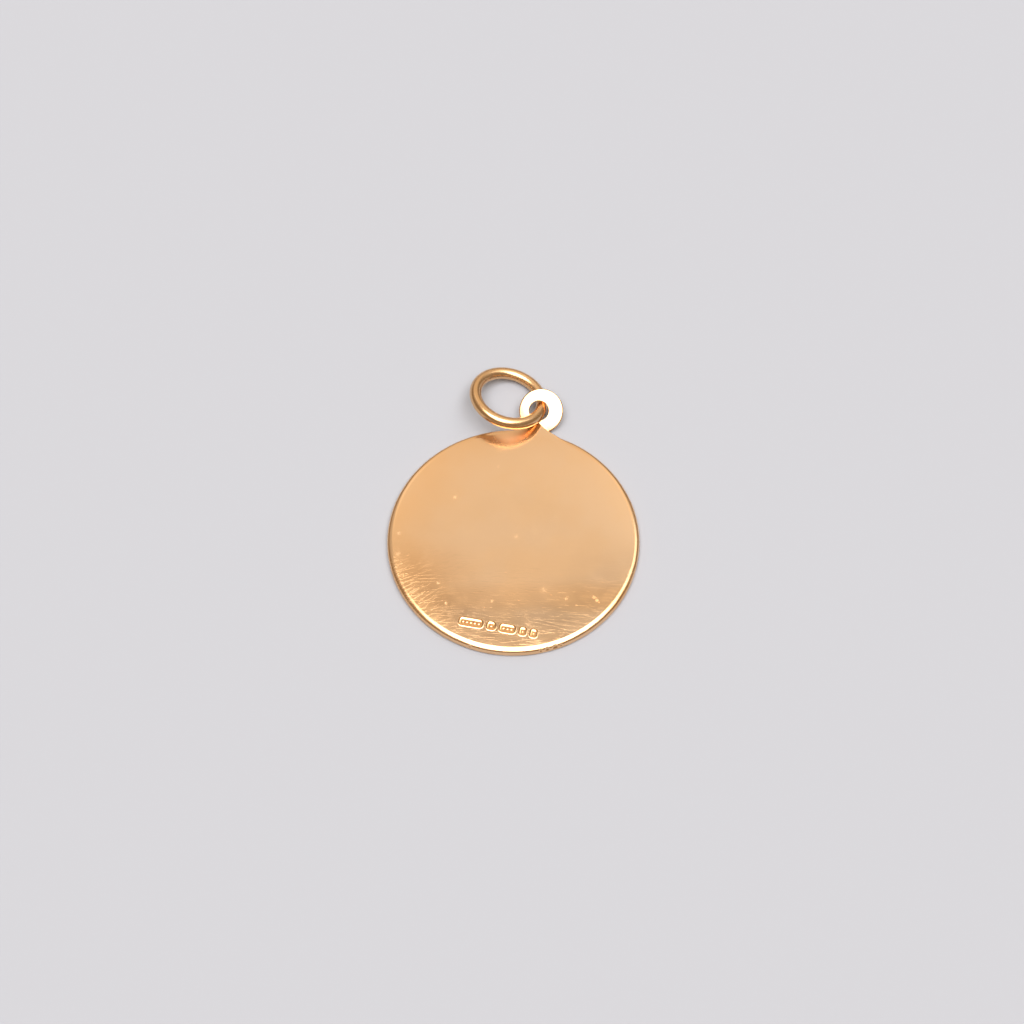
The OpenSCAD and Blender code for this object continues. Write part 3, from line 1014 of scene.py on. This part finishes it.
@dataclass
class JumpRing:
    """The closed ring of round wire, propped in the eye."""

    radius: float = 2.73 * MM
    wire: float = 0.94 * MM
    left: float = 2.738 * MM
    reach: float = 2.1 * MM
    tilt: float = math.radians(19.8)
    lean: float = math.radians(57.6)

    def build(self, rim: float, finish: GoldFinish) -> bpy.types.Object:
        """Builds the ring and dresses it.

        Args:
            rim: The disc's radius.
            finish: The ring's finish.

        Returns:
            The finished piece.
        """
        section = arc_points((self.radius, 0), self.wire / 2, 0, 360, 56)
        mesh = lathe_sketch().run(row_of("ring_gold", section), Segments=220)
        height = self.wire / 2 + self.radius * math.sin(self.tilt)
        mesh.transform(Matrix.Translation((-self.left, rim + self.reach, height))
                       @ Matrix.Rotation(self.lean, 4, "Z") @ Matrix.Rotation(self.tilt, 4, "Y"))
        mesh.polygons.foreach_set("use_smooth", [True] * len(mesh.polygons))
        mesh.materials.clear()
        mesh.materials.append(finish.dress())
        return as_object(mesh)


@dataclass(frozen=True)
class Glow:
    """A soft-edged bright patch of the studio's walls.

    Attributes:
        azimuth: Its direction in degrees, from the camera's side towards the right.
        elevation: Its height above the horizon, in degrees.
        inner: Half the angle inside which it is at its full strength.
        outer: Half the angle outside which it gives nothing.
        strength: How bright it is.
        tint: Its colour.
    """

    azimuth: float
    elevation: float
    inner: float
    outer: float
    strength: float
    tint: Colour = (1.0, 1.0, 1.0)

    def direction(self) -> Vector:
        """Where it is, in the pendant's frame."""
        a, e = math.radians(self.azimuth) + TURN, math.radians(self.elevation)
        return Vector((math.sin(a) * math.cos(e), -math.cos(a) * math.cos(e), math.sin(e)))


@dataclass(frozen=True)
class Studio:
    """The pale floor, the soft light and the camera."""

    glows: tuple[Glow, ...]
    ambient: Colour
    floor_colour: Colour
    lens: float = 210.9
    distance: float = 0.4754
    elevation: float = math.radians(62)
    off_right: float = 1.4
    off_up: float = -31.6
    focal_pixels: float = 6000
    floor_size: float = 3.0

    def light(self) -> None:
        """Makes the world: an even pale room with soft bright patches."""
        world = bpy.data.worlds.new("studio")
        bpy.context.scene.world = world
        world.use_nodes = True
        room = Wiring(world.node_tree)
        way = room.add("ShaderNodeTexCoord").outputs["Generated"]
        total: Any = self.ambient
        for glow in self.glows:
            dot = room.vector("DOT_PRODUCT", way, glow.direction()).outputs["Value"]
            outer, inner = (math.cos(math.radians(angle)) for angle in (glow.outer, glow.inner))
            bright = room.ranged(dot, outer, inner, 0, glow.strength)
            share = room.add("ShaderNodeVectorMath", {0: glow.tint, "Scale": bright}, operation="SCALE")
            total = room.vector("ADD", share.outputs[0], total).outputs[0]
        room.feed(room.tree.nodes["Background"].inputs["Color"], total)

    def floor(self) -> None:
        """Makes the plain pale floor, just under the pendant."""
        half, under = self.floor_size / 2, -0.01 * MM
        mesh = new_mesh("floor", [(-half, -half, under), (half, -half, under), (half, half, under),
                                  (-half, half, under)], faces=[(0, 1, 2, 3)])
        material = bpy.data.materials.new("floor")
        material.use_nodes = True
        shader = material.node_tree.nodes["Principled BSDF"]
        shader.inputs["Base Color"].default_value = (*self.floor_colour, 1.0)
        shader.inputs["Roughness"].default_value = 0.9
        shader.inputs["Specular IOR Level"].default_value = 0.1
        mesh.materials.append(material)
        as_object(mesh)

    def camera(self) -> None:
        """Sets the camera at the photograph's angle."""
        back = Vector((math.sin(TURN) * math.cos(self.elevation), -math.cos(TURN) * math.cos(self.elevation),
                       math.sin(self.elevation)))
        right = Vector((math.cos(TURN), math.sin(TURN), 0))
        up = back.cross(right)
        scale = self.distance / self.focal_pixels
        data = bpy.data.cameras.new("camera")
        data.lens = self.lens
        data.clip_start, data.clip_end = 0.01, 10
        obj = bpy.data.objects.new("camera", data)
        obj.matrix_world = Matrix.Translation(back * self.distance - right * (self.off_right * scale)
                                              - up * (self.off_up * scale)) @ Matrix(
            (right, up, back)).transposed().to_4x4()
        bpy.context.scene.collection.objects.link(obj)
        bpy.context.scene.camera = obj

    def build(self) -> None:
        """Builds the studio."""
        self.light()
        self.floor()
        self.camera()
        bpy.context.scene.view_settings.view_transform = "Standard"


# The deeper colour on the lower left and in the band above the marks is painted shade.
DISC_FINISH = GoldFinish(
    "disc_gold", base=(0.89, 0.575, 0.32), warm=(0.89, 0.56, 0.295), deep=(0.85, 0.47, 0.2), rough=0.16,
    haze=0.04, grain=0.6, low_left_shade=0.55, rub=0.08, band_shade=0.45,
    spots=((-2.2, 9.7, 2.3, 0.3), (-5.26, 2.73, 0.34, 0.12), (-9.01, -1.21, 0.3, 0.14), (-8.7, -3, 0.3, 0.1),
           (0.17, 0.2, 0.4, 0.1), (-0.6, -5.77, 0.22, 0.15), (7.23, -3.89, 0.2, 0.2), (7.5, -4.1, 0.2, 0.25),
           (-5.09, -5.01, 0.2, 0.2), (-4.12, -6.64, 0.2, 0.2), (1.6, 0.9, 0.6, 0.05), (3.2, -4.1, 0.5, 0.07),
           (5.1, -4.48, 0.2, 0.15), (2.9, 2.6, 0.4, 0.05)),
    hairlines=(Hairlines(8, 0.2 * MM, 12, 0.026 * MM, 0.1, 0.85),
               Hairlines(0, 0.33 * MM, 8, 0.03 * MM, 0.2, 0.7),
               Hairlines(18, 0.45 * MM, 5, 0.03 * MM, 0.3, 0.5),
               Hairlines(-40, 1.1 * MM, 2, 0.03 * MM, 0.6, 0.4),
               Hairlines(27, 0.24 * MM, 12, 0.023 * MM, 0.12, 0.8, True),
               Hairlines(40, 0.27 * MM, 10, 0.024 * MM, 0.15, 0.8, True),
               Hairlines(14, 0.26 * MM, 12, 0.023 * MM, 0.12, 0.8, True),
               Hairlines(57, 0.5 * MM, 5, 0.026 * MM, 0.25, 0.6, True)))
RING_FINISH = GoldFinish("ring_gold", base=(0.76, 0.48, 0.25), warm=(0.76, 0.46, 0.22), deep=(0.5, 0.26, 0.1),
                         rough=0.24, haze=0.04, grain=0)
STUDIO = Studio(
    glows=(Glow(8, 77, 21, 27.4, 5.0), Glow(97, 67, 12, 17, 3.7), Glow(-85, 76, 12, 18, 3.7),
           Glow(180, 38, 24, 32, 1.0, (0.55, 0.48, 0.39)), Glow(170, 62, 3, 13, 1.0, (0.06, 0.15, 0.28)),
           Glow(125, 48, 5, 14, 1.4), Glow(-140, 46, 10, 24, 0.3), Glow(140, 46, 10, 24, 0.3)),
    ambient=(0.32, 0.262, 0.205), floor_colour=(0.398, 0.405, 0.436))


def main() -> None:
    """Builds the pendant and the studio."""
    logging.basicConfig(level=logging.INFO, format="%(name)s: %(message)s")
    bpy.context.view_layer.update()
    STUDIO.build()
    disc = Disc(Crown())
    for piece, node, slot in ((disc.build(DISC_FINISH), "disc", "disc_gold"),
                              (JumpRing().build(disc.radius, RING_FINISH), "jump_ring", "ring_gold")):
        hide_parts(node)
        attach(piece, "root")
        LOG.info("%s: %d faces", piece.name, len(piece.data.polygons))


if __name__ == "__main__":
    main()
